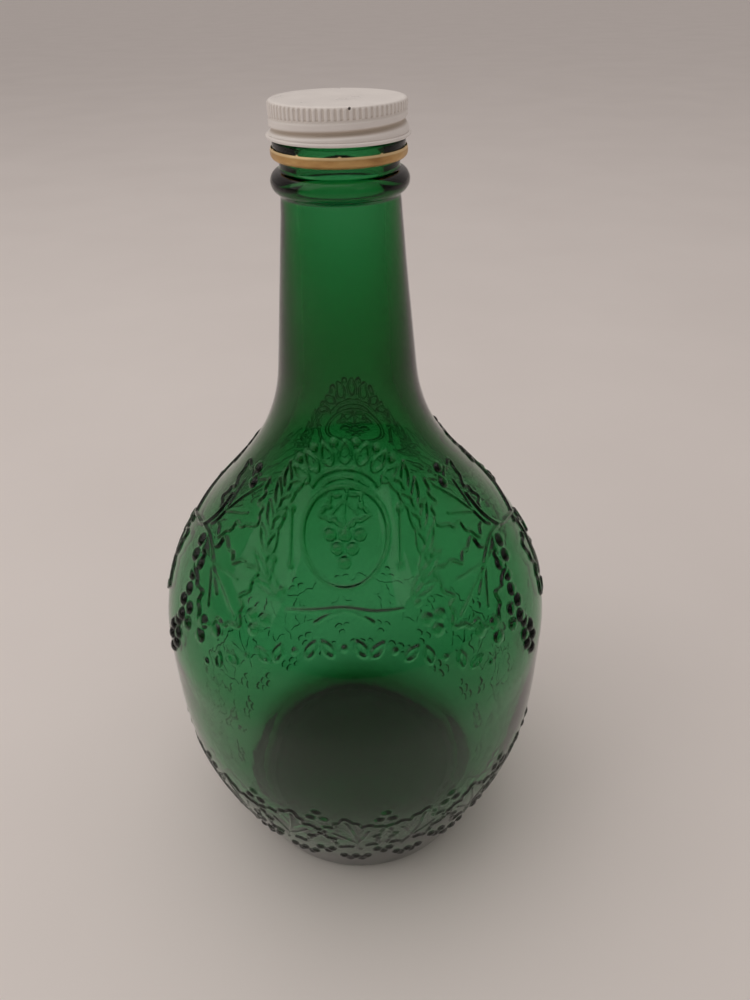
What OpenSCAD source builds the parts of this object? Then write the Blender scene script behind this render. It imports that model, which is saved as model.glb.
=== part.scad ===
// Glass wine jug with a long neck: blown green bottle, a tamper-evident ring
// left under its locking collar, and a lined metal screw cap with a knurled rim.
// Millimetres, +Z up, origin at the middle of the base where the bottle stands.

/* [Bottle body] */
// Largest radius of the body
belly_r = 73.2; // [71:0.1:75]
// Height of the largest radius
belly_z = 107.5; // [102:0.5:113]
// Outer radius of the ring that the bottle stands on
heel_r = 46.6; // [44:0.1:49]
// Rounding between the standing ring and the side
heel_round = 4; // [3:0.5:5]
// Lean of the side just above the heel, in degrees from upright
heel_lean = 22.4; // [20:0.2:25]
// Width of the flat standing ring
foot_w = 4; // [3:0.5:6]
// Rise of the push-up in the middle of the base
pushup_h = 6; // [3:0.5:9]
// Thickness of the side wall at the belly
wall = 4.2; // [3.4:0.1:4.8]
// Thickness of the side wall just above the heel
heel_wall = 4.6; // [4.2:0.1:7]
// Thickness of the base
base_t = 9; // [7:0.5:10]

/* [Bottle neck] */
// Radius where the shoulder meets the neck
neck_low_r = 22.8; // [22:0.1:24]
// Height where the shoulder meets the neck
neck_low_z = 210.5; // [205:0.5:214]
// Radius of the neck just under the transfer bead
neck_top_r = 17.35; // [17:0.05:17.8]
// Height of the top of the straight neck
neck_top_z = 264.8; // [255:0.2:270]
// Thickness of the wall at the foot of the neck
neck_wall = 8.5; // [6:0.1:9]
// Radius of the bore through the mouth
bore_r = 12.7; // [12.3:0.1:13.4]

/* [Screw finish] */
// Section radius of the transfer bead
bead_r = 3.3; // [3.2:0.1:3.6]
// Radius of the recess between the bead and the locking collar
recess_r = 17.1; // [16.9:0.05:17.2]
// Radius of the locking collar
collar_r = 18.7; // [18.5:0.05:18.8]
// Radius at the root of the glass thread
root_r = 17.4; // [17.3:0.05:17.5]
// Radius over the crest of the glass thread
crest_r = 18.45; // [18.3:0.05:18.5]
// Rise of the thread in one turn, six turns to the inch
pitch = 4.2333; // [4.2:0.0001:4.26]

/* [Cap] */
// Height of the cap
cap_h = 9.5; // [9.3:0.1:9.8]
// Outer radius of the cap's skirt between its knurls
skirt_r = 19.05; // [19.05:0.01:19.12]
// Thickness of the cap's metal
cap_t = 0.3; // [0.26:0.01:0.3]
// Number of knurls round the cap
knurls = 74; // [60:1:80]
// Outer radius of the rolled hem
hem_r = 20.15; // [20.1:0.05:20.3]
// Radius of the liner disc
liner_r = 17.7; // [17.5:0.05:17.75]
// Thickness of the liner's pulp board
board_t = 1; // [0.9:0.05:1.1]
// Thickness of the liner's facing
facing_t = 0.3; // [0.2:0.05:0.4]

/* [Tamper-evident ring] */
// Outer radius of the ring
ring_r = 19.35; // [19.3:0.05:19.5]
// Height of the ring
ring_h = 3.3; // [3.1:0.1:3.4]
// Thickness of the ring's metal
ring_t = 0.3; // [0.25:0.01:0.32]

/* [Hidden] */
$fn = 96;

glass_color = [0.05, 0.36, 0.16, 0.55];
gold_color = [0.80, 0.58, 0.25];
white_color = [0.90, 0.88, 0.84];
facing_color = [0.93, 0.93, 0.90];
board_color = [0.72, 0.62, 0.46];

bead_mid_r = 16.7;       // radius of the circle that the bead's section is drawn on
bead_rise = 3.2;         // from the top of the neck to the middle of the bead

// heights above the table
bead_z = neck_top_z + bead_rise;
recess_low_z = bead_z + sqrt(pow(bead_r, 2) - pow(recess_r - bead_mid_r, 2));
ring_z = bead_z + 5.9;
collar_low_z = ring_z + 1.3;
collar_top_z = ring_z + 5.6;
cap_low_z = ring_z + 5.6;
cap_top_z = cap_low_z + cap_h;
rim_z = cap_top_z - cap_t - board_t - facing_t;

collar_slope = 1;        // height of the collar's slanted underside
collar_round = 0.9;      // height of the collar's sloping top
lip_round = 1;           // rounding of the mouth, inside and outside
heel_pull = 60.7;        // handle lengths of the two curves of the side
belly_low_pull = 46;
belly_high_pull = 51;
neck_pull = 43;
floor_r = 28;            // radius inside which the floor is parallel to the push-up
side_t = 0.12;           // where along the lower side curve the inner side starts
inner_pull = 12;         // handle length of the curve that joins floor and inner side
curve_n = 28;            // segments along each side curve

// the thread under the cap: heights are at the front, on the -Y side
cap_thread_z = cap_low_z + 3;
cap_thread_from = -90;  // degrees round from the front
cap_thread_to = 360;
cap_tip_r = 17.95;
glass_thread_z = cap_thread_z + pitch / 2;
glass_thread_from = -300;
glass_thread_to = 98;
thread_step = 10;        // degrees between the thread's sections
thread_fade = 30;        // degrees over which a thread runs out at each end

function arc(centre, r, from, to, n) =
    [for (i = [0:n]) let (a = from + (to - from) * i / n) centre + r * [cos(a), sin(a)]];

function bezier(p, t) =
    pow(1 - t, 3) * p[0] + 3 * pow(1 - t, 2) * t * p[1] + 3 * (1 - t) * t * t * p[2] + pow(t, 3) * p[3];

function bezier_way(p, t) =
    pow(1 - t, 2) * (p[1] - p[0]) + 2 * (1 - t) * t * (p[2] - p[1]) + t * t * (p[3] - p[2]);

// points along a curve, moved in towards the axis by a depth that changes along it
function inside(p, from, n, depth, end_depth, power = 1) =
    [for (i = [0:n])
        let (t = from + (1 - from) * i / n, w = bezier_way(p, t))
        let (d = depth + (end_depth - depth) * pow(t, power))
        bezier(p, t) + d * [-w[1], w[0]] / norm(w)];

heel_end = [heel_r, heel_round] + heel_round * [cos(heel_lean), -sin(heel_lean)];
neck_slope = (neck_top_r - neck_low_r) / (neck_top_z - neck_low_z);
lower_side = [
    heel_end,
    heel_end + heel_pull * [sin(heel_lean), cos(heel_lean)],
    [belly_r, belly_z - belly_low_pull],
    [belly_r, belly_z]
];
upper_side = [
    [belly_r, belly_z],
    [belly_r, belly_z + belly_high_pull],
    [neck_low_r - neck_pull * neck_slope, neck_low_z - neck_pull],
    [neck_low_r, neck_low_z]
];

function pushup(r) = pushup_h * (1 - pow(r / (heel_r - foot_w), 2));

outer_line = concat(
    arc([heel_r, heel_round], heel_round, -90, -heel_lean, 8),
    inside(lower_side, 1 / curve_n, curve_n - 1, 0, 0),
    inside(upper_side, 1 / curve_n, curve_n - 1, 0, 0),
    arc([bead_mid_r, bead_z], bead_r, -asin(bead_rise / bead_r), asin((recess_low_z - bead_z) / bead_r), 16),
    [
        [recess_r, collar_low_z],
        [collar_r, collar_low_z + collar_slope],
        [collar_r, collar_top_z - collar_round],
        [root_r, collar_top_z]
    ],
    arc([root_r - lip_round, rim_z - lip_round], lip_round, 0, 90, 6)
);

floor_end = [floor_r, base_t + pushup(floor_r)];
floor_way = [1, -2 * pushup_h * floor_r / pow(heel_r - foot_w, 2)];
inner_side = inside(lower_side, side_t, curve_n, heel_wall, wall);
side_way = bezier_way(lower_side, side_t);
inner_heel = [
    floor_end,
    floor_end + inner_pull * floor_way / norm(floor_way),
    inner_side[0] - inner_pull * side_way / norm(side_way),
    inner_side[0]
];
inner_line = concat(
    [for (i = [0:6]) let (r = floor_r * i / 6) [r, base_t + pushup(r)]],
    inside(inner_heel, 1 / 8, 7, 0, 0),
    [for (i = [1:curve_n]) inner_side[i]],
    inside(upper_side, 1 / curve_n, curve_n - 1, wall, neck_wall, 2),
    [[bore_r, neck_top_z - 2.8]],
    arc([bore_r + lip_round, rim_z - lip_round], lip_round, 180, 90, 6)
);
foot_line = [for (i = [10:-1:0]) let (r = (heel_r - foot_w) * i / 10) [r, pushup(r)]];

function reversed(list) = [for (i = [len(list) - 1:-1:0]) list[i]];

// how much of a thread's depth is left near its two ends
function run_out(a, from, to) = min(1, (a - from) / thread_fade, (to - a) / thread_fade);

// right-handed ridge: a section [[r, z], ...] for every step, joined into one solid
module ridge(sections) {
    m = len(sections[0]);
    n = len(sections);
    polyhedron(
        points = [for (s = sections) each s],
        faces = concat(
            [[for (k = [m - 1:-1:0]) k]],
            [for (i = [0:n - 2]) for (k = [0:m - 1])
                let (a = i * m + k, b = i * m + (k + 1) % m)
                each [[a, b, a + m], [b, b + m, a + m]]],
            [[for (k = [0:m - 1]) (n - 1) * m + k]]
        )
    );
}

// one section of a thread at an angle round from the front
function thread_section(a, mid_z, base_r, tip_r, base_half, tip_half) =
    let (z = mid_z + pitch * a / 360, out = [cos(a - 90), sin(a - 90)])
    [for (p = [[base_r, -base_half], [tip_r, -tip_half], [tip_r, tip_half], [base_r, base_half]])
        [p[0] * out[0], p[0] * out[1], z + p[1]]];

module glass_thread() {
    sunk_r = root_r - 0.4;
    ridge([for (a = [glass_thread_from:thread_step:glass_thread_to + 0.01])
        let (tip = root_r - 0.1 + (crest_r - root_r + 0.1) * run_out(a, glass_thread_from, glass_thread_to))
        thread_section(a, glass_thread_z, sunk_r, tip, 1.2, 0.45)]);
}

module cap_bead() {
    sunk_r = skirt_r - 0.6 * cap_t;
    ridge([for (a = [cap_thread_from:thread_step:cap_thread_to])
        let (run = run_out(a, cap_thread_from, cap_thread_to))
        let (tip = sunk_r - 0.1 - (sunk_r - 0.1 - cap_tip_r) * run)
        reversed(thread_section(a, cap_thread_z, sunk_r, tip, 0.35 + 0.5 * run, 0.3))]);
}

module glass_bottle() {
    color(glass_color) union() {
        rotate_extrude() polygon(concat(outer_line, reversed(inner_line), reversed(foot_line)));
        glass_thread();
    }
}

module tamper_ring() {
    tuck = 1.5;
    mid = [ring_r - tuck, tuck];
    color(gold_color) translate([0, 0, ring_z])
        rotate_extrude() polygon(concat(
            arc(mid, tuck, -90, 0, 8),
            [[ring_r, ring_h], [ring_r - ring_t, ring_h]],
            arc(mid, tuck - ring_t, 0, -90, 8)
        ));
}

module liner_facing() {
    color(facing_color) translate([0, 0, rim_z]) cylinder(h = facing_t, r = liner_r);
}

module liner_board() {
    color(board_color) translate([0, 0, rim_z + facing_t]) cylinder(h = board_t, r = liner_r);
}

// closed shell under the panel: flat top, round corner, straight skirt, flare, rolled hem
module cap_skin() {
    corner = 1.1;        // rounding of the top edge
    hem_t = 0.5;         // section radius of the rolled hem
    flare_z = 1.5;       // height at which the skirt starts to flare
    rotate_extrude() polygon(concat(
        [[hem_r - 2 * hem_t, 0.2], [hem_r - hem_t, 0]],
        arc([hem_r - hem_t, hem_t], hem_t, -60, 90, 8),
        [[skirt_r + 0.35, 2 * hem_t], [skirt_r, flare_z]],
        arc([skirt_r - corner, cap_h - corner], corner, 0, 90, 6),
        [[0, cap_h], [0, cap_h - cap_t]],
        arc([skirt_r - corner, cap_h - corner], corner - cap_t, 90, 0, 6),
        [[skirt_r - cap_t, flare_z + 0.1], [hem_r - 2 * hem_t, 1]]
    ));
}

module cap_knurls() {
    band_h = 2.2;
    depth = 0.3;
    linear_extrude(height = band_h) difference() {
        polygon([for (i = [0:2 * knurls - 1])
            let (a = 180 * i / knurls) (skirt_r + depth * (i % 2) + 0.02) * [cos(a), sin(a)]]);
        circle(r = skirt_r - 0.2 * cap_t);
    }
}

module cap_shell() {
    knurl_z = 6.2;       // height of the knurled band above the hem
    color(white_color) union() {
        translate([0, 0, cap_low_z]) cap_skin();
        translate([0, 0, cap_low_z + knurl_z]) cap_knurls();
        cap_bead();
    }
}

glass_bottle();
tamper_ring();
liner_facing();
liner_board();
cap_shell();
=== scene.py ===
"""Green glass wine jug with a screw cap: the looks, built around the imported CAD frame.

Metres, +Z up. The bottle's axis is the Z axis and its front decoration faces -Y.
"""

import math

import bpy
import numpy as np
from mathutils import Euler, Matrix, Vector


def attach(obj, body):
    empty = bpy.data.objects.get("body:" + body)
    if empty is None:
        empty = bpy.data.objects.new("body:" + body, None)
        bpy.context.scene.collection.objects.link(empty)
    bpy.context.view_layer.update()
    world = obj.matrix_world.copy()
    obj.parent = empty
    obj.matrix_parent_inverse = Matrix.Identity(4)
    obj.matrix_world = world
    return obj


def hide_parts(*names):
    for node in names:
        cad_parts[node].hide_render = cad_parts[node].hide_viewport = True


MM = 0.001
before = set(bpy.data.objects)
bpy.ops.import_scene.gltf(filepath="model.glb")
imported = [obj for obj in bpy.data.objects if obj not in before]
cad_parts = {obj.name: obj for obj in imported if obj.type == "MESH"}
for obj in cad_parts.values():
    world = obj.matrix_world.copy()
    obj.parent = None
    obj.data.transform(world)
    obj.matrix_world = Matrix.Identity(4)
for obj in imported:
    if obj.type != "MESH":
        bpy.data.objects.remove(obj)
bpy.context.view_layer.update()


# ---------------------------------------------------------------- outline of the glass, in millimetres

BELLY_R, BELLY_Z = 73.2, 107.5
HEEL_R, HEEL_ROUND, HEEL_LEAN = 46.6, 4.0, math.radians(22.4)
FOOT_W, PUSHUP_H, BASE_T = 4.0, 6.0, 9.0
HEEL_WALL, WALL, NECK_WALL = 4.6, 4.2, 8.5
NECK_LOW_R, NECK_LOW_Z, NECK_TOP_R, NECK_TOP_Z = 22.8, 210.5, 17.35, 264.8
HEEL_PULL, BELLY_LOW_PULL, BELLY_HIGH_PULL, NECK_PULL = 60.7, 46.0, 51.0, 43.0
BORE_R, FLOOR_R, SIDE_T, INNER_PULL = 12.7, 28.0, 0.12, 12.0
BEAD_R, BEAD_MID_R, BEAD_Z = 3.3, 16.7, 268.0
RECESS_R, COLLAR_R, ROOT_R, CREST_R = 17.1, 18.7, 17.4, 18.45
RING_Z, RING_R, COLLAR_TOP, RIM_Z = 273.9, 19.35, 279.5, 287.4
CAP_LOW_Z, CAP_TOP, CAP_R, HEM_R, LINER_R = 279.5, 289.0, 19.05, 20.15, 17.7
PITCH, THREAD_Z, THREAD_FROM, THREAD_TO, GROOVE_Z = 4.2333, 284.617, -300, 98, 282.5
FACING_T, BOARD_T = 0.3, 1.0


def arc(centre, radius, start, end, count):
    """Points on an arc in the (r, z) plane, angles in degrees."""
    angles = np.radians(np.linspace(start, end, count))
    return np.stack([centre[0] + radius * np.cos(angles), centre[1] + radius * np.sin(angles)], 1)


def bezier(points, count, start=0.0):
    """Points on a cubic curve, and the unit direction of travel at each."""
    p = np.array(points, float)
    t = np.linspace(start, 1, count)[:, None]
    where = (1 - t) ** 3 * p[0] + 3 * (1 - t) ** 2 * t * p[1] + 3 * (1 - t) * t**2 * p[2] + t**3 * p[3]
    way = (1 - t) ** 2 * (p[1] - p[0]) + 2 * (1 - t) * t * (p[2] - p[1]) + t**2 * (p[3] - p[2])
    return where, way / np.linalg.norm(way, axis=1, keepdims=True)


def inward(curve, start, depth, end_depth, power=1):
    """A curve's points, which begin at its parameter start, moved in by a depth that changes along it."""
    where, way = curve
    t = np.linspace(start, 1, len(where))[:, None] ** power
    return where + (depth + (end_depth - depth) * t) * np.stack([-way[:, 1], way[:, 0]], 1)


def fillet(line, at, radius, count=7):
    """Rounds the corner nearest to a point of a polyline, with tangent lengths equal to the radius."""
    line = np.asarray(line, float)
    k = int(np.argmin(np.linalg.norm(line - np.array(at), axis=1)))
    before = line[k] + radius * (line[k - 1] - line[k]) / np.linalg.norm(line[k - 1] - line[k])
    after = line[k] + radius * (line[k + 1] - line[k]) / np.linalg.norm(line[k + 1] - line[k])
    t = np.linspace(0, 1, count)[:, None]
    bend = (1 - t) ** 2 * before + 2 * (1 - t) * t * line[k] + t**2 * after
    return np.concatenate([line[:k], bend, line[k + 1:]])


def lower_side():
    """Control points of the side from the heel up to the belly."""
    end = np.array([HEEL_R, HEEL_ROUND]) + HEEL_ROUND * np.array([math.cos(HEEL_LEAN), -math.sin(HEEL_LEAN)])
    lean = np.array([math.sin(HEEL_LEAN), math.cos(HEEL_LEAN)])
    return [end, end + HEEL_PULL * lean, (BELLY_R, BELLY_Z - BELLY_LOW_PULL), (BELLY_R, BELLY_Z)]


def upper_side():
    """Control points of the side from the belly up to the foot of the neck."""
    slope = (NECK_TOP_R - NECK_LOW_R) / (NECK_TOP_Z - NECK_LOW_Z)
    return [(BELLY_R, BELLY_Z), (BELLY_R, BELLY_Z + BELLY_HIGH_PULL),
            (NECK_LOW_R - NECK_PULL * slope, NECK_LOW_Z - NECK_PULL), (NECK_LOW_R, NECK_LOW_Z)]


def body_outline():
    """Outside of the glass from the standing ring up to the top of the neck."""
    return np.concatenate([
        arc((HEEL_R, HEEL_ROUND), HEEL_ROUND, -90, -math.degrees(HEEL_LEAN), 7)[:-1],
        bezier(lower_side(), 300)[0],
        bezier(upper_side(), 300)[0][1:],
        [(NECK_TOP_R, NECK_TOP_Z)],
    ])


def resample(line, spacing):
    """Walks a polyline with a step that may depend on the height reached: spacing(z)."""
    seg = np.linalg.norm(np.diff(line, axis=0), axis=1)
    s = np.concatenate([[0], np.cumsum(seg)])
    at = [0.0]
    while at[-1] < s[-1]:
        z = np.interp(at[-1], s, line[:, 1])
        at.append(at[-1] + spacing(z))
    at = np.array(at[:-1])
    if s[-1] - at[-1] < 0.3 * spacing(line[-1, 1]):
        at = at[:-1]
    at = np.append(at, s[-1])
    return np.stack([np.interp(at, s, line[:, 0]), np.interp(at, s, line[:, 1])], 1)


def normals_of(line):
    """Outward unit normals of an outline walked upwards."""
    way = np.gradient(line, axis=0)
    out = np.stack([way[:, 1], -way[:, 0]], 1)
    return out / np.linalg.norm(out, axis=1, keepdims=True)


# ---------------------------------------------------------------- mesh helpers

def mesh_object(name, verts_mm, faces, smooth=True):
    """A mesh in the scene, in metres, from points in millimetres."""
    mesh = bpy.data.meshes.new(name)
    mesh.from_pydata((np.asarray(verts_mm) * MM).tolist(), [], faces)
    mesh.validate()
    if smooth:
        mesh.polygons.foreach_set("use_smooth", [True] * len(mesh.polygons))
    mesh.update()
    obj = bpy.data.objects.new(name, mesh)
    bpy.context.scene.collection.objects.link(obj)
    return obj


def ring_of(cols):
    """Angles of a grid's columns, which start at the front and go round to the right."""
    return -np.pi / 2 + 2 * np.pi * np.arange(cols) / cols


def azimuths(cols):
    """The same angles in degrees from the front, from -180 to 180."""
    return (np.degrees(2 * np.pi * np.arange(cols) / cols) + 180) % 360 - 180


def turned(r, z, cols):
    """Points [row, column, xyz] from radii and heights, each by row or by row and column."""
    angle = ring_of(cols)
    r = np.asarray(r, float).reshape(len(r), -1)
    z = np.asarray(z, float).reshape(len(z), -1)
    return np.stack([r * np.cos(angle), r * np.sin(angle), z + 0 * angle], -1)


def revolve(line, cols):
    """Points [row, column, xyz] of an outline of (radius, height) turned round the axis."""
    line = np.asarray(line)
    return turned(line[:, 0], line[:, 1], cols)


def skin(name, grid, low=None, high=None):
    """Closed mesh from [row, column, xyz]: rows run up the outside and down the inside, or start and end
    on the axis at the heights low and high."""
    rows, cols = grid.shape[:2]
    verts = grid.reshape(-1, 3)
    last_row = rows if low is None else rows - 1
    i, j = np.meshgrid(np.arange(last_row), np.arange(cols), indexing="ij")
    k = (j + 1) % cols
    up = (i + 1) % rows
    faces = np.stack([i * cols + j, i * cols + k, up * cols + k, up * cols + j], -1).reshape(-1, 4).tolist()
    if low is not None:
        top = (rows - 1) * cols
        faces += [[len(verts), (n + 1) % cols, n] for n in range(cols)]
        faces += [[len(verts) + 1, top + n, top + (n + 1) % cols] for n in range(cols)]
        verts = np.concatenate([verts, [[0, 0, low], [0, 0, high]]])
    return mesh_object(name, verts, faces)


def swell(x):
    """Smooth bump: 1 at 0, 0 from 1 outwards."""
    return (1 - np.clip(np.abs(x), 0, 1) ** 2) ** 2


def ramp(x):
    """Smooth step from 0 at 0 to 1 at 1."""
    x = np.clip(x, 0, 1)
    return x * x * (3 - 2 * x)


# ---------------------------------------------------------------- embossed decoration

COLS = 1152
FRONT = -1.8          # azimuth of the middle of the front decoration, in degrees


class Relief:
    """Heights drawn on the outside of the glass, in millimetres, [row, column].

    A motif is drawn in its own frame, u to the right along the parallel and v up along the side, both in
    millimetres from a place (azimuth in degrees, height)."""

    def __init__(self, line):
        """A plain relief on an outline of (radius, height)."""
        step = np.linalg.norm(np.diff(line, axis=0), axis=1)
        self.r = line[:, 0]
        self.z = line[:, 1]
        self.s = np.concatenate([[0], np.cumsum(step)])
        self.height = np.zeros((len(line), COLS))

    def window(self, place, low, high):
        """The part of the grid around a piece of a motif, with its local u and v."""
        turn, s0 = math.radians(place[0]), np.interp(place[1], self.z, self.s)
        rows = np.arange(np.searchsorted(self.s, s0 + low[1]), np.searchsorted(self.s, s0 + high[1]))
        if not len(rows):
            return None
        r = self.r[rows]
        cell = 2 * math.pi / COLS
        first = math.floor((turn + min(low[0] / r.min(), low[0] / r.max())) / cell)
        last = math.ceil((turn + max(high[0] / r.min(), high[0] / r.max())) / cell)
        cols = np.arange(first, last + 1)
        u = (cols * cell - turn)[None, :] * r[:, None]
        v = (self.s[rows] - s0)[:, None]
        return np.ix_(rows, cols % COLS), u, v

    def raise_to(self, spot, height):
        """Lifts a part of the grid to a height where it is lower."""
        self.height[spot] = np.maximum(self.height[spot], height)

    def stroke(self, place, path, half=0.85, rise=0.65, flat=0.0):
        """A ridge along a path. Its half width may change along the path; flat is how much of it is level."""
        path = np.asarray(path, float)
        halves = np.broadcast_to(half, len(path))
        for a, b, h in zip(path[:-1], path[1:], (halves[:-1] + halves[1:]) / 2):
            seen = self.window(place, np.minimum(a, b) - h, np.maximum(a, b) + h)
            if seen is None:
                continue
            spot, u, v = seen
            way = b - a
            t = np.clip(((u - a[0]) * way[0] + (v - a[1]) * way[1]) / max(way @ way, 1e-9), 0, 1)
            d = np.hypot(u - a[0] - t * way[0], v - a[1] - t * way[1]) / h
            self.raise_to(spot, rise * swell(np.clip((d - flat) / (1 - flat), 0, 1)))

    def bead(self, place, at, radius, rise):
        """A round dome."""
        at = np.asarray(at, float)
        seen = self.window(place, at - radius, at + radius)
        if seen is None:
            return
        spot, u, v = seen
        d = np.hypot(u - at[0], v - at[1]) / radius
        self.raise_to(spot, rise * np.clip(1 - d * d, 0, 1) ** 0.6)


def curve(points, per=8):
    """Smooth path through a few points."""
    p = np.asarray(points, float)
    p = np.concatenate([[2 * p[0] - p[1]], p, [2 * p[-1] - p[-2]]])
    t = np.linspace(0, 1, per, endpoint=False)[:, None]
    parts = [0.5 * (2 * b + (c - a) * t + (2 * a - 5 * b + 4 * c - d) * t**2 + (3 * b - a - 3 * c + d) * t**3)
             for a, b, c, d in zip(p[:-3], p[1:-2], p[2:-1], p[3:])]
    return np.concatenate(parts + [p[-2:-1]])


def ellipse(centre, a, b, start=0, end=360, count=72):
    """Points on an ellipse or a part of one, angles in degrees."""
    t = np.radians(np.linspace(start, end, count))
    return np.stack([centre[0] + a * np.cos(t), centre[1] + b * np.sin(t)], 1)


def placed(path, at=(0, 0), turn=0.0, mirror=1):
    """A path turned anticlockwise by an angle in degrees, mirrored left to right, and moved."""
    c, s = math.cos(math.radians(turn)), math.sin(math.radians(turn))
    path = np.asarray(path, float) @ np.array([[c, s], [-s, c]])
    return path * [mirror, 1] + np.asarray(at, float)


def lance(length, width, count=14):
    """Outline of a pointed leaf from its foot at the origin to its tip on +v."""
    t = np.linspace(0, 1, count)
    side = width / 2 * np.sin(np.pi * t**0.8)
    return np.concatenate([np.stack([side, length * t], 1), np.stack([-side, length * t], 1)[::-1]])


def vine_leaf(art, place, length, width, turn, mirror=1, rise=0.8):
    """Five-lobed leaf: a wavy outline, open at its stalk, and veins. Its tip points down at turn 0."""
    t = np.radians(np.linspace(14, 346, 110))
    rho = 1 - 0.30 * (0.5 + 0.5 * np.cos(5 * t)) - 0.06 * np.cos(15 * t) + 0.05 * np.sin(3 * t + 1)
    outline = np.stack([0.55 * width * rho * np.sin(t), 0.52 * length * rho * np.cos(t)], 1)
    art.stroke(place, placed(outline, (0, 0), turn, mirror), 0.8, rise, 0.25)
    foot = np.array([0, 0.30 * length])
    for lobe, reach in ((180, 0.40), (108, 0.30), (252, 0.30)):
        a = math.radians(lobe)
        tip = np.array([width * reach * math.sin(a), length * reach * math.cos(a)])
        bend = (foot + tip) / 2 + 0.06 * np.array([tip[1], -tip[0]])
        art.stroke(place, placed(curve([foot, bend, tip], 5), (0, 0), turn, mirror), 0.65, 0.7 * rise)
    stalk = curve([foot, (0.05 * width, 0.5 * length), (0.02 * width, 0.62 * length)], 5)
    art.stroke(place, placed(stalk, (0, 0), turn, mirror), 0.8, rise)


def bunch(art, place, counts, lean=0.0, gap=5.6, radius=2.4, rise=1.35, mirror=1):
    """Grapes in rows from the top down. The lean moves each row sideways."""
    for row, count in enumerate(counts):
        for k in range(count):
            u = (k - (count - 1) / 2) * gap + lean * row
            art.bead(place, (mirror * u, -0.9 * gap * row), radius, rise)


def medallion(art, middle):
    """Oval with a bunch of grapes under a leaf, a fan of leaves on top, rods, laurels and a ribbon."""
    place = (middle, 171)
    art.stroke(place, ellipse((0, 0), 13.7, 16.1), 1.1, 1.1, 0.35)
    bunch(art, (middle, 171.5), (3, 2, 1), gap=4.7, radius=2.3, rise=1.7)
    vine_leaf(art, (middle, 177.6), 11, 14, 0, rise=1.2)
    arch = (0, 9.8)
    art.stroke(place, ellipse(arch, 11.9, 11.9, 28, 152, 24), 0.9, 1.05, 0.3)
    art.stroke(place, ellipse(arch, 9.2, 9.2, 40, 140, 20), 0.8, 0.9, 0.3)
    for k in range(7):
        tilt = 20 * (k - 3)
        foot = 13.4 * np.array([-math.sin(math.radians(tilt)), math.cos(math.radians(tilt))]) + arch
        art.stroke(place, placed(lance(7.0, 3.8), foot, tilt), 0.65, 0.95, 0.2)
        if k < 6:
            side = math.radians(tilt + 10)
            art.bead(place, 20 * np.array([-math.sin(side), math.cos(side)]) + arch, 1.4, 1.5)
    for side in (-1, 1):
        art.stroke(place, [(17.8 * side, -9.6), (17.8 * side, 6)], 0.7, 0.95, 0.2)
        art.bead(place, (17.8 * side, -10.6), 1.3, 1.2)
        art.bead(place, (17.8 * side, 7), 1.5, 1.3)
        laurel(art, place, side)
        art.stroke(place, curve([(0.5 * side, -22.6), (5 * side, -24.2), (9.2 * side, -27)]), 0.8, 0.8, 0.2)
        bunch(art, (middle + 27.5 * side, 148.4), (2, 1), lean=0.4, gap=4.6, radius=2.2, rise=1.1,
              mirror=side)
    ribbon = curve([(-18.5, -24.4), (-9, -23.2), (0, -22.2), (9, -23.6), (18.5, -24)], 6)
    art.stroke(place, ribbon, 0.5 + 0.7 * np.sin(np.linspace(0, np.pi, len(ribbon))), 0.7, 0.25)


def laurel(art, place, side):
    """A spray of long leaves and berries that climbs beside the oval."""
    stem = curve([(20, -22.5), (25.5, -17), (26.5, -7), (24, 4), (19.5, 13)], 10) * [side, 1]
    art.stroke(place, stem, 0.5, 0.35)
    way = np.gradient(stem, axis=0)
    for k in range(3, len(stem), 7):
        heading = math.degrees(math.atan2(-way[k][0], way[k][1]))
        for lean in (-24, 20):
            art.stroke(place, placed(lance(9.5, 2.8), stem[k], heading + lean), 0.65, 0.9, 0.2)
        if k % 2:
            out = np.array([way[k][1], -way[k][0]]) / np.linalg.norm(way[k])
            art.bead(place, stem[k] + 2.8 * out, 1.4, 1.3)


def garland(art, middle):
    """A row of small leaves and beads that sags to both sides under the medallion."""
    for k in range(-9, 10):
        azimuth = 4.7 * k
        place = (middle + azimuth, 144 - 17.3 * (azimuth / 43) ** 2)
        sag = -math.degrees(math.atan(0.02 * azimuth))
        if k % 3 == 0:
            art.bead(place, (0, 0), 1.1, 0.7)
        else:
            tilt = sag + (32 if k % 2 else -32)
            foot = placed([(0, -2.8)], turn=tilt)[0]
            art.stroke(place, placed(lance(5.6, 2.6), foot, tilt), 0.6, 0.7, 0.25)


def shoulder_vines(art, middle):
    """Leaves and grapes on both flanks of a decorated side."""
    for side in (-1, 1):
        vine_leaf(art, (middle + 46 * side, 150.5), 31, 27, -62, side, 1.1)
        vine_leaf(art, (middle + 60 * side, 171), 27, 23, -150, side, 0.65)
        bunch(art, (middle + 65 * side, 154.6), (2, 2, 1, 1, 2, 2), lean=-2.0, mirror=side)
        bunch(art, (middle + 47 * side, 138.4), (1, 1), gap=5.8, mirror=side, radius=2.6)
        bunch(art, (middle + 41 * side, 139), (1,), mirror=side, rise=1.0)
        bunch(art, (middle + 60 * side, 130), (1, 2, 2, 1), lean=0.9, mirror=side, gap=5.2)
        bunch(art, (middle + 61 * side, 181), (1, 1), lean=-1.5, mirror=side, gap=5.4, radius=2.0)
        twig = curve([(20, -9), (9, -4), (0, 0), (-4, 8), (-4, 17)], 6) * [side, 1]
        art.stroke((middle + 74 * side, 157), twig, 0.9, 0.75, 0.2)
        stem = curve([(0, 0), (-9, 1), (-19, -3), (-30, -11)], 6) * [side, 1]
        art.stroke((middle + 74 * side, 157), stem, 0.8, 0.8, 0.2)


def side_vine(art, azimuth):
    """The large leaf on the flank between the two decorated sides."""
    vine_leaf(art, (azimuth, 133), 34, 28, 8)


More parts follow.
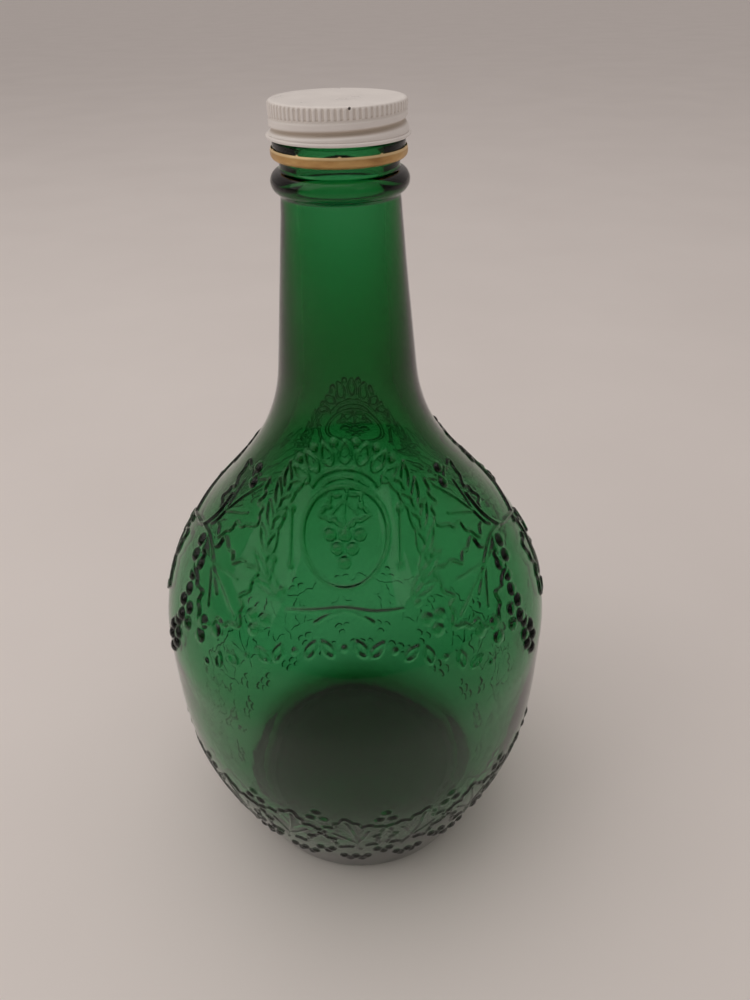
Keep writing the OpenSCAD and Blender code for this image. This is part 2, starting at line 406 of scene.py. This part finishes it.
def lower_band(art, leaves=18):
    """Leaves and grapes all round, just above the heel."""
    pitch_angle = 360 / leaves
    for k in range(leaves):
        azimuth = k * pitch_angle + FRONT
        vine_leaf(art, (azimuth, 54), 28, 23, 168 if k % 2 else 190, rise=0.55)
        between = azimuth + pitch_angle / 2
        bunch(art, (between, 36), (2, 1), lean=0.4, gap=4.6, radius=1.9, rise=0.9)
        bunch(art, (azimuth, 26), (3, 2), gap=4.6, radius=1.9, rise=0.9)
        bunch(art, (between, 71), (1, 2), gap=4.8, radius=1.9, rise=0.7)


def decoration(line):
    """All the embossing of the glass as heights over its plain outside."""
    art = Relief(line)
    for middle in (FRONT, FRONT + 180):
        medallion(art, middle)
        garland(art, middle)
        shoulder_vines(art, middle)
    for azimuth in (90, -90):
        side_vine(art, azimuth + FRONT)
        art.stroke((azimuth, 80), [(0, 0), (0, 45)], 0.6, 0.12)     # seam of the mould
    lower_band(art)
    return art.height


# ---------------------------------------------------------------- the bottle

FINE, COARSE = 0.45, 2.5                    # spacing of the glass's rows, with and without embossing
EMBOSSED = ((4, 78), (108, 199))            # heights between which the side is embossed
PLAIN_IN = 0.15                             # how far the plain side lies inside the CAD outline
WAVES_OUT, WAVES_IN = 0.1, 0.35             # unevenness of the outside and of the inside


def floor_z(r):
    """Height of the floor inside the glass, parallel to the push-up under it."""
    return BASE_T + PUSHUP_H * (1 - (r / (HEEL_R - FOOT_W)) ** 2)


def inner_heel_curve():
    """Joins the floor to the inner side, as in the CAD model."""
    where, way = bezier(lower_side(), 2, SIDE_T)
    side = inward((where, way), SIDE_T, HEEL_WALL, WALL)[0]
    floor_end = np.array([FLOOR_R, floor_z(FLOOR_R)])
    floor_way = np.array([1, -2 * PUSHUP_H * FLOOR_R / (HEEL_R - FOOT_W) ** 2])
    return [floor_end, floor_end + INNER_PULL * floor_way / np.linalg.norm(floor_way),
            side - INNER_PULL * way[0], side]


def glass_thread(z):
    """Height of the thread over the root of the finish, at heights z and every column."""
    azimuth = azimuths(COLS)[None, :]
    found = np.zeros((len(z), COLS))
    for turns in (-1, 0):
        a = azimuth + 360 * turns
        a = np.where(a < THREAD_FROM, a + 720, a)
        fade = np.clip(np.minimum(a - THREAD_FROM, THREAD_TO - a) / 30, 0, 1)
        away = np.abs(np.asarray(z)[:, None] - (THREAD_Z + PITCH * a / 360))
        crest = np.clip((1.25 - away) / 0.75, 0, 1)
        found = np.maximum(found, (CREST_R - ROOT_R) * ramp(crest) * ramp(fade))
    return found


def waves(rows, cols, seed, size):
    """Slow unevenness of blown glass, between about -1 and 1, [row, column]."""
    rng = np.random.default_rng(seed)
    s = np.cumsum(np.concatenate([[0], np.linalg.norm(np.diff(rows, axis=0), axis=1)]))[:, None]
    a = np.radians(azimuths(cols))[None, :]
    total = np.zeros((len(rows), cols))
    for order in range(1, 7):
        shift, _, phase = rng.uniform(0, 2 * np.pi, 3)
        slant = 2 * np.pi * s / size * rng.uniform(0.4, 1.3)
        total += np.cos(order * a + slant + shift) * np.cos(s / size + phase)
    return total / 3


def bottle():
    """The glass: its outside with the embossing, the finish with its thread, the bore and the hollow."""
    body = resample(body_outline(), lambda z: FINE if any(a < z < b for a, b in EMBOSSED) else COARSE)
    out = normals_of(body)
    height = decoration(body) - PLAIN_IN
    height += WAVES_OUT * waves(body, COLS, 3, 40)
    height *= np.clip(np.minimum(body[:, 1], 262 - body[:, 1]) / 3, 0, 1)[:, None]
    outside = turned(body[:, :1] + out[:, :1] * height, body[:, 1:] + out[:, 1:] * height, COLS)

    neck_ring = np.concatenate([
        arc((BEAD_MID_R, BEAD_Z), BEAD_R, -74, 80, 22),
        [(RECESS_R, 272.0), (RECESS_R, 275.2), (COLLAR_R, 276.2), (COLLAR_R, 278.9), (ROOT_R, COLLAR_TOP)],
    ])
    neck_ring = fillet(neck_ring, (RECESS_R, 275.2), 0.5)
    neck_ring = fillet(neck_ring, (COLLAR_R, 276.2), 0.4)
    neck_ring = fillet(neck_ring, (COLLAR_R, 278.9), 0.35)
    thread_rows = np.linspace(COLLAR_TOP, RIM_Z - 1, 29)[1:-1]
    thread = turned(ROOT_R + glass_thread(thread_rows), thread_rows, COLS)
    lip = np.concatenate([
        arc((ROOT_R - 1, RIM_Z - 1), 1, 0, 90, 7),
        arc((BORE_R + 1, RIM_Z - 1), 1, 90, 180, 7),
        [(BORE_R, 283), (BORE_R, 275), (BORE_R, 262)],
    ])
    inner = np.concatenate([
        inward(bezier(upper_side(), 60), 0, WALL, NECK_WALL, 2)[::-1],
        inward(bezier(lower_side(), 50, SIDE_T), SIDE_T, HEEL_WALL, WALL)[::-1][1:],
        bezier(inner_heel_curve(), 16)[0][::-1][1:],
        [(q, floor_z(q)) for q in np.linspace(FLOOR_R, 2, 10)[1:]],
    ])
    uneven = WAVES_IN * waves(inner, COLS, 8, 70) * np.clip(inner[:, :1] / 20 - 0.4, 0, 1)
    inside = turned(inner[:, :1] + uneven, inner[:, 1:], COLS)

    foot_in = HEEL_R - FOOT_W
    under = np.array([(q, PUSHUP_H * (1 - (q / foot_in) ** 2)) for q in np.linspace(2, foot_in - 0.8, 16)]
                     + [(foot_in, 0.05), (foot_in + 0.8, 0.0), (HEEL_R - 0.8, 0.0)])
    grid = np.concatenate([revolve(under, COLS), outside, revolve(neck_ring, COLS), thread,
                           revolve(lip, COLS), inside])
    return skin("bottle_glass", grid, PUSHUP_H, floor_z(0))


# ---------------------------------------------------------------- the cap, its liner and the ring

KNURLS, BAND_Z = 74, 285.6       # number of knurls, and the foot of their band at the front
CAP_COLS = KNURLS * 14
CAP_T, CORNER_R, HEM_T = 0.3, 1.1, 0.5      # thickness, rounding of the top edge, section of the hem
GROOVE_IN, WAIST_IN, FLARE_OUT, NOTCH_IN = 0.85, 0.22, 0.35, 0.5      # how far each moves the skirt
RING_COLS, STUB_STEP, STUB_H = 720, 36, 0.3                           # stubs of the torn bridges


def cap():
    """Pressed metal cap: flat panel, knurls, a rolled thread groove, a flare and a curled hem."""
    corner_mid = (CAP_R - 0.95, CAP_TOP - CORNER_R)
    azimuth = azimuths(CAP_COLS)[None, :]
    side_z = np.linspace(CAP_LOW_Z + 1.7, CAP_TOP - CORNER_R, 48)[:, None]
    corner = arc(corner_mid, CORNER_R, 9, 90, 9)
    z = np.concatenate([side_z, corner[:, 1:]])
    groove_z = GROOVE_Z + PITCH * azimuth / 360
    groove = swell((z - groove_z) / 1.25) * ramp((azimuth + 150) / 50) * ramp((179 - azimuth) / 40)
    band_low = BAND_Z + 3.4 * azimuth / 360 * ramp((180 - np.abs(azimuth)) / 40)
    band = ramp((z - band_low) / 0.3) * ramp((CAP_TOP - 0.25 - z) / 0.9)
    waist = swell((z - band_low + 0.15) / 0.75)
    notch = swell(((azimuth * KNURLS / 360 + 0.5) % 1 - 0.5) / 0.36)
    flare = ramp((CAP_LOW_Z + 3.0 - z) / 1.6)
    wall = np.concatenate([np.full_like(side_z, CAP_R + 0.15), corner[:, :1]])
    plain_wall = wall - GROOVE_IN * groove - WAIST_IN * waist + FLARE_OUT * flare
    outer = plain_wall - NOTCH_IN * band * notch
    inner = (plain_wall - CAP_T)[:len(side_z)][::-1]
    inner_corner = arc(corner_mid, CORNER_R - CAP_T, 90, 8, 6)
    panel = [(q, CAP_TOP - CAP_T) for q in (2, 7, 12, 16)]
    hem = np.concatenate([
        [(19.1, CAP_LOW_Z + 1.25), (19.2, CAP_LOW_Z + 0.6)],
        arc((HEM_R - HEM_T, CAP_LOW_Z + HEM_T), HEM_T, -150, 128, 16),
        [(19.5, CAP_LOW_Z + 1.05), (19.5, CAP_LOW_Z + 1.35)],
    ])
    top = np.array([(q, CAP_TOP - 0.02) for q in (17.4, 16.5, 12, 7, 2)])
    dents = 0.03 * waves(top, CAP_COLS, 5, 60)
    grid = np.concatenate([
        revolve(panel, CAP_COLS), revolve(inner_corner, CAP_COLS),
        turned(inner, side_z[::-1], CAP_COLS), revolve(hem, CAP_COLS),
        turned(outer, z, CAP_COLS), turned(top[:, 0], top[:, 1:] - 0.03 + dents, CAP_COLS),
    ])
    return skin("cap_metal", grid, CAP_TOP - CAP_T, CAP_TOP - 0.05)


def ring():
    """Tamper-evident ring: tucked in below, its lip bent in, with the stubs of its torn bridges on it."""
    azimuth = azimuths(RING_COLS)[None, :]
    stub = sum(swell((((azimuth - at + 180) % 360) - 180) / 2.0) for at in range(-178, 180, STUB_STEP))
    dent = 0.05 * np.cos(np.radians(azimuth * 5 + 40)) + 0.03 * np.cos(np.radians(azimuth * 13))
    tuck_mid = (RING_R - 1.5, RING_Z + 1.5)
    # each row: radius, height, how far the dents move it, whether the stubs stand on it
    rows = [(q, h, 0, 0) for q, h in arc(tuck_mid, 1.45, -88, 0, 12)]
    rows += [(RING_R - 0.06, RING_Z + 2.1, 1, 0), (RING_R - 0.06, RING_Z + 2.35, 1, 0)]
    rows += [(RING_R - 0.16, RING_Z + 2.75, 1, 0), (RING_R - 0.26, RING_Z + 3.1, 1, 1)]
    rows += [(RING_R - 0.33, RING_Z + 3.17, 1, 1), (RING_R - 0.42, RING_Z + 3.1, 1, 1)]
    rows += [(RING_R - 0.36, RING_Z + 2.3, 0.5, 0)]
    rows += [(q, h, 0, 0) for q, h in arc(tuck_mid, 1.2, 0, -88, 10)]
    r = np.concatenate([q + 0.5 * a * dent for q, _, a, _ in rows])
    z = np.concatenate([h + STUB_H * b * stub for _, h, _, b in rows])
    return skin("ring_metal", turned(r, z, RING_COLS))


def disc(name, low, thick, dent):
    """A liner disc with soft edges, pressed in a little where the rim of the glass bears on it."""
    edge = 0.4 * thick
    foot = [(q, low + dent * swell((q - 15.6) / 2.2)) for q in np.linspace(1, LINER_R - edge, 22)]
    side = arc((LINER_R - edge, low + edge), edge, -80, 0, 5).tolist()
    side += arc((LINER_R - edge, low + thick - edge), edge, 0, 80, 5).tolist()
    head = [(q, low + thick) for q in np.linspace(LINER_R - edge, 1, 8)]
    grid = revolve(foot + side + head, 192)
    return skin(name, grid, low, low + thick)


# ---------------------------------------------------------------- materials

CHIP_AT, CHIP_R = (3.6, -18.5, 288.5), 0.4  # where the cap's enamel is chipped, in millimetres


def new_material(name):
    """A material with its node tree and its shader."""
    mat = bpy.data.materials.new(name)
    mat.use_nodes = True
    tree = mat.node_tree
    return mat, tree, tree.nodes["Principled BSDF"]


def node(tree, kind, **values):
    """A node of a kind, with values for its sockets or its settings."""
    made = tree.nodes.new(kind)
    for key, value in values.items():
        socket = made.inputs.get(key.replace("_", " "))
        if socket is not None:
            socket.default_value = value
        else:
            setattr(made, key, value)
    return made


def noise(tree, scale, detail=4.0, stretch=None):
    """Noise on the object's own coordinates, in metres, optionally stretched."""
    coords = tree.nodes.new("ShaderNodeTexCoord")
    made = node(tree, "ShaderNodeTexNoise", Scale=scale, Detail=detail)
    if stretch:
        mapping = node(tree, "ShaderNodeMapping", Scale=stretch)
        tree.links.new(coords.outputs["Object"], mapping.inputs["Vector"])
        tree.links.new(mapping.outputs["Vector"], made.inputs["Vector"])
    else:
        tree.links.new(coords.outputs["Object"], made.inputs["Vector"])
    return made.outputs["Fac"]


def ramp_node(tree, source, stops):
    """Colour ramp whose stops are (position, (r, g, b))."""
    made = tree.nodes.new("ShaderNodeValToRGB")
    marks = made.color_ramp.elements
    while len(marks) < len(stops):
        marks.new(0.5)
    for mark, (place, colour) in zip(marks, stops):
        mark.position = place
        mark.color = (*colour, 1)
    tree.links.new(source, made.inputs["Fac"])
    return made.outputs["Color"]


def bump(tree, shader, source, distance, strength=1.0):
    """Fine unevenness of a shader's surface, in metres."""
    made = node(tree, "ShaderNodeBump", Distance=distance, Strength=strength)
    tree.links.new(source, made.inputs["Height"])
    tree.links.new(made.outputs["Normal"], shader.inputs["Normal"])


def mixed(tree, mask, low, high):
    """Colour between two colours or colour sockets, by a mask."""
    made = tree.nodes.new("ShaderNodeMix")
    made.data_type = "RGBA"
    tree.links.new(mask, made.inputs["Factor"])
    for socket, value in zip(("A", "B"), (low, high)):
        target = [s for s in made.inputs if s.name == socket and s.type == "RGBA"][0]
        if isinstance(value, tuple):
            target.default_value = (*value, 1)
        else:
            tree.links.new(value, target)
    return [s for s in made.outputs if s.type == "RGBA"][0]


def height_mask(tree, low, high):
    """Mask that rises from 0 to 1 between two heights of the object, in metres."""
    coords = tree.nodes.new("ShaderNodeTexCoord")
    split = tree.nodes.new("ShaderNodeSeparateXYZ")
    tree.links.new(coords.outputs["Object"], split.inputs["Vector"])
    made = node(tree, "ShaderNodeMapRange")
    made.inputs["From Min"].default_value = low
    made.inputs["From Max"].default_value = high
    tree.links.new(split.outputs["Z"], made.inputs["Value"])
    return made.outputs["Result"]


def green_glass():
    """Clear bottle glass whose green comes from its thickness, with a faint haze of handling."""
    mat, tree, shader = new_material("bottle_green")
    shader.inputs["Base Color"].default_value = (1, 1, 1, 1)
    shader.inputs["Transmission Weight"].default_value = 1
    shader.inputs["IOR"].default_value = 1.48
    shader.inputs["Specular Tint"].default_value = (0.55, 0.55, 0.55, 1)
    haze = ramp_node(tree, noise(tree, 45), [(0.45, (0, 0, 0)), (0.75, (0.05, 0.05, 0.05))])
    tree.links.new(haze, shader.inputs["Roughness"])
    bump(tree, shader, noise(tree, 160, 2), 0.00003)
    absorb = node(tree, "ShaderNodeVolumeAbsorption", Color=(0.24, 0.74, 0.49, 1), Density=480)
    tree.links.new(absorb.outputs["Volume"], tree.nodes["Material Output"].inputs["Volume"])
    return mat


def near(tree, place, radius):
    """Mask that is 1 within a ragged radius of a place on the object, both in millimetres."""
    coords = tree.nodes.new("ShaderNodeTexCoord")
    away = tree.nodes.new("ShaderNodeVectorMath")
    away.operation = "DISTANCE"
    tree.links.new(coords.outputs["Object"], away.inputs[0])
    away.inputs[1].default_value = [q * MM for q in place]
    ragged = tree.nodes.new("ShaderNodeMath")
    ragged.operation = "MULTIPLY_ADD"
    tree.links.new(noise(tree, 2500, 2), ragged.inputs[0])
    ragged.inputs[1].default_value = 1.2 * radius * MM
    tree.links.new(away.outputs["Value"], ragged.inputs[2])
    made = node(tree, "ShaderNodeMapRange")
    made.inputs["From Min"].default_value = 1.7 * radius * MM
    made.inputs["From Max"].default_value = 1.5 * radius * MM
    tree.links.new(ragged.outputs["Value"], made.inputs["Value"])
    return made.outputs["Result"]


def recess_mask(tree, radius, depth, low):
    """Mask of what lies deeper than a radius, above a height, in millimetres: where dirt and painted shade
    darken the cap.
    """
    coords = tree.nodes.new("ShaderNodeTexCoord")
    flat = tree.nodes.new("ShaderNodeVectorMath")
    flat.operation = "MULTIPLY"
    tree.links.new(coords.outputs["Object"], flat.inputs[0])
    flat.inputs[1].default_value = (1, 1, 0)
    reach = tree.nodes.new("ShaderNodeVectorMath")
    reach.operation = "LENGTH"
    tree.links.new(flat.outputs["Vector"], reach.inputs[0])
    deep = node(tree, "ShaderNodeMapRange")
    deep.inputs["From Min"].default_value = radius * MM
    deep.inputs["From Max"].default_value = (radius - depth) * MM
    tree.links.new(reach.outputs["Value"], deep.inputs["Value"])
    both = tree.nodes.new("ShaderNodeMath")
    both.operation = "MULTIPLY"
    tree.links.new(deep.outputs["Result"], both.inputs[0])
    tree.links.new(height_mask(tree, low * MM, (low + 0.5) * MM), both.inputs[1])
    top = tree.nodes.new("ShaderNodeMath")
    top.operation = "MULTIPLY"
    tree.links.new(both.outputs["Value"], top.inputs[0])
    tree.links.new(height_mask(tree, (CAP_TOP - 0.2) * MM, (CAP_TOP - 0.6) * MM), top.inputs[1])
    return top.outputs["Value"]


def enamel():
    """White baked enamel on tinplate, darkened between its knurls and in its thread groove by dirt and
    painted shade, and chipped at its edge.
    """
    mat, tree, shader = new_material("cap_white")
    tone = ramp_node(tree, noise(tree, 60), [(0.3, (0.86, 0.82, 0.79)), (0.7, (0.92, 0.88, 0.85))])
    # dirt and painted shade: the knurl notches and the thread groove get a darker brown, standing in for the
    # shade that falls in them
    dirt_and_shade = recess_mask(tree, CAP_R + 0.1, 0.7, CAP_LOW_Z + 1.2)
    dirty_and_shaded = mixed(tree, dirt_and_shade, tone, (0.53, 0.45, 0.37))
    specks = ramp_node(tree, noise(tree, 900, 2), [(0.765, (0, 0, 0)), (0.775, (1, 1, 1))])
    worn = mixed(tree, specks, dirty_and_shaded, (0.42, 0.36, 0.30))
    chipped = mixed(tree, near(tree, CHIP_AT, CHIP_R), worn, (0.05, 0.04, 0.035))
    tree.links.new(chipped, shader.inputs["Base Color"])
    gloss = ramp_node(tree, noise(tree, 120), [(0.3, (0.26, 0.26, 0.26)), (0.7, (0.42, 0.42, 0.42))])
    tree.links.new(gloss, shader.inputs["Roughness"])
    bump(tree, shader, noise(tree, 700, 3), 0.00004)
    return mat


def gold_lacquer():
    """Gold-lacquered tinplate with fine wear and dull patches, and a painted highlight along its top lip."""
    mat, tree, shader = new_material("ring_gold")
    tone = ramp_node(tree, noise(tree, 140, 5, (1, 1, 3)),
                     [(0.3, (0.42, 0.22, 0.07)), (0.5, (0.58, 0.34, 0.12)), (0.75, (0.72, 0.47, 0.19))])
    # painted highlight: the upward-facing top lip is coloured a pale gold, standing in for the ceiling light
    # it catches
    edge = height_mask(tree, (RING_Z + 2.35) * MM, (RING_Z + 2.7) * MM)
    tree.links.new(mixed(tree, edge, tone, (0.92, 0.68, 0.36)), shader.inputs["Base Color"])
    shader.inputs["Metallic"].default_value = 0.4
    gloss = ramp_node(tree, noise(tree, 300), [(0.3, (0.28, 0.28, 0.28)), (0.7, (0.5, 0.5, 0.5))])
    tree.links.new(gloss, shader.inputs["Roughness"])
    bump(tree, shader, noise(tree, 900, 3), 0.00004)
    return mat


def film():
    """Waxy facing film, slightly stained."""
    mat, tree, shader = new_material("facing_film")
    tone = ramp_node(tree, noise(tree, 90), [(0.35, (0.78, 0.76, 0.68)), (0.7, (0.86, 0.85, 0.80))])
    tree.links.new(tone, shader.inputs["Base Color"])
    shader.inputs["Roughness"].default_value = 0.32
    bump(tree, shader, noise(tree, 500, 3), 0.00005)
    return mat


def board():
    """Grey-brown pulp board with short fibres."""
    mat, tree, shader = new_material("board_pulp")
    tone = ramp_node(tree, noise(tree, 700, 6, (1, 2.5, 1)),
                     [(0.3, (0.33, 0.25, 0.16)), (0.55, (0.46, 0.36, 0.24)), (0.8, (0.60, 0.49, 0.35))])
    tree.links.new(tone, shader.inputs["Base Color"])
    shader.inputs["Roughness"].default_value = 0.92
    bump(tree, shader, noise(tree, 900, 6), 0.0001)
    return mat


def give(obj, mat):
    """Makes a material an object's only one."""
    obj.data.materials.clear()
    obj.data.materials.append(mat)


# ---------------------------------------------------------------- camera, floor and light

CAMERA_AT = (0.00825, -0.236, 0.318)
CAMERA_DOWN, CAMERA_ROLL = 34.4, -1.04      # degrees below level, and round the line of sight
LENS, SENSOR = 28.08, 36                    # millimetres
TABLE_HALF = 20.0
LAMPS = [
    # name, place, what it points at, size, watts
    ("ceiling", (-0.42, 0.05, 1.9), (0, 0, 0), 1.9, 9.0),
    ("left_window", (-1.1, -0.4, 0.9), (-0.4, 0, 0), 1.0, 2.4),
    ("right_lamp", (0.77, -1.0, 1.1), (0, 0, 0.15), 0.35, 0.3),
]
WALL_GLOW, CEILING_GLOW, DARK_SIDE = (0.32, 0.288, 0.273), (0.52, 0.475, 0.45), (0.08, 0.072, 0.067)


def stage_and_camera():
    """The camera, the table, the room and its lamps."""
    scene = bpy.context.scene
    cam = bpy.data.cameras.new("camera")
    cam.lens = LENS
    cam.sensor_width = SENSOR
    cam.clip_start = 0.01
    seen = bpy.data.objects.new("camera", cam)
    scene.collection.objects.link(seen)
    seen.location = CAMERA_AT
    pitch, roll = math.radians(90 - CAMERA_DOWN), math.radians(CAMERA_ROLL)
    seen.rotation_euler = (Euler((pitch, 0, 0)).to_matrix() @ Euler((0, 0, roll)).to_matrix()).to_euler()
    scene.camera = seen

    corners = TABLE_HALF * np.array([(-1, -1, 0), (1, -1, 0), (1, 1, 0), (-1, 1, 0)])
    floor = mesh_object("floor", corners / MM, [[0, 1, 2, 3]], smooth=False)
    give(floor, table_top())
    scene.world = room()
    for lamp in LAMPS:
        area_light(*lamp)
    scene.view_settings.view_transform = "Standard"


def table_top():
    """Matt white table, faintly mottled."""
    mat, tree, shader = new_material("table_paint")
    tone = ramp_node(tree, noise(tree, 6), [(0.3, (0.83, 0.785, 0.765)), (0.7, (0.86, 0.815, 0.795))])
    tree.links.new(tone, shader.inputs["Base Color"])
    shader.inputs["Roughness"].default_value = 0.6
    return mat


def room():
    """A pale wall behind the bottle, and a dim room on the side that the front faces."""
    world = bpy.data.worlds.new("room")
    world.use_nodes = True
    tree = world.node_tree
    coords = tree.nodes.new("ShaderNodeTexCoord")
    split = tree.nodes.new("ShaderNodeSeparateXYZ")
    tree.links.new(coords.outputs["Generated"], split.inputs["Vector"])
    lit = ramp_node(tree, split.outputs["Z"], [(0.0, WALL_GLOW), (1.0, CEILING_GLOW)])
    dark = ramp_node(tree, split.outputs["Z"], [(0.0, DARK_SIDE), (1.0, CEILING_GLOW)])
    across = node(tree, "ShaderNodeMapRange")
    tree.links.new(split.outputs["Y"], across.inputs["Value"])
    across.inputs["From Min"].default_value = -0.45
    across.inputs["From Max"].default_value = 0.25
    tree.links.new(mixed(tree, across.outputs["Result"], dark, lit), tree.nodes["Background"].inputs["Color"])
    return world


def area_light(name, place, target, size, watts):
    """A warm square lamp that points at a target."""
    light = bpy.data.lights.new(name, "AREA")
    light.size = size
    light.energy = watts
    light.color = (1.0, 0.95, 0.9)
    obj = bpy.data.objects.new(name, light)
    bpy.context.scene.collection.objects.link(obj)
    obj.location = place
    way = Vector(target) - Vector(place)
    obj.rotation_euler = way.to_track_quat("-Z", "Y").to_euler()


# ---------------------------------------------------------------- put together

stage_and_camera()
glass = bottle()
give(glass, green_glass())
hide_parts("glass_bottle")
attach(glass, "bottle")

looks = [
    (cap(), "cap_shell", "cap", "white_enamel", enamel()),
    (ring(), "tamper_ring", "ring", "gold_metal", gold_lacquer()),
    (disc("facing_film", RIM_Z, FACING_T, 0.1), "liner_facing", "seal", "liner_film", film()),
    (disc("board_disc", RIM_Z + FACING_T, BOARD_T, 0.1), "liner_board", "wad", "pulp_board", board()),
]
for made, node_name, body_name, slot_name, mat in looks:
    give(made, mat)
    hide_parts(node_name)
    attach(made, body_name)
